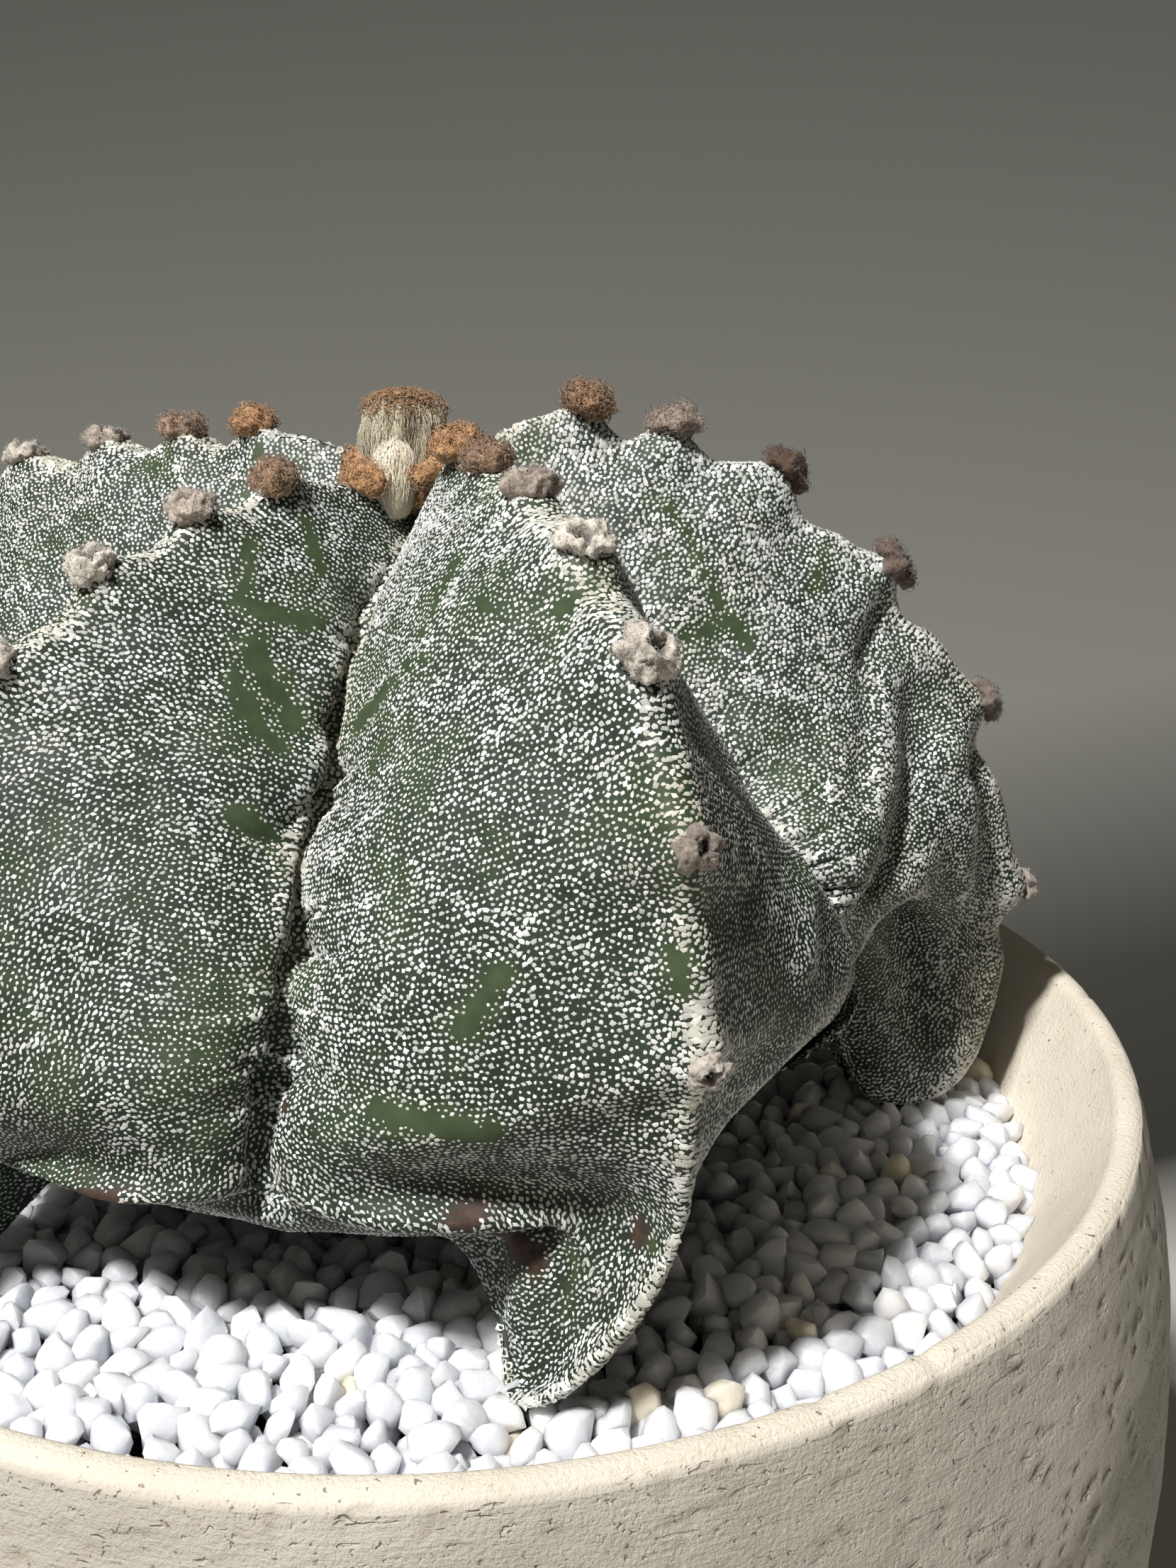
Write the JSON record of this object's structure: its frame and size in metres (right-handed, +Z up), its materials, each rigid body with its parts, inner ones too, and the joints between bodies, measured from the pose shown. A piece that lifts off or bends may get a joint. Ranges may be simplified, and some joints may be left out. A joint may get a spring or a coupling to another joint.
{
  "type": "potted round cactus",
  "caption": "Squat ribbed bishop's cap cactus with woolly areoles and buds, standing on white quartz chips in a thick stoneware pot.",
  "frame": {"origin": "centre of the pot's foot ring, on the surface it stands on", "axes": "+Z up along the pot's axis, -Y towards the viewer of the picture, +X to the viewer's right"},
  "size_m": [0.1606, 0.1606, 0.1736],
  "materials": {
    "stoneware": "unglazed, rough outside, smoother rim",
    "mesh_plastic": "matte",
    "potting_mix": "loose, gritty",
    "quartz_chips": "broken quartz, faintly translucent",
    "cactus_skin": "waxy green skin covered with white flecks",
    "bud_wool": "matted wool"
  },
  "bodies": {
    "root": {"pot": "stoneware", "drainage_mesh": "mesh_plastic", "potting_mix": "potting_mix", "gravel_dressing": "quartz_chips", "cactus_stem": "cactus_skin", "flower_bud_large": "bud_wool", "flower_bud_small": "bud_wool"}
  },
  "joints": []
}
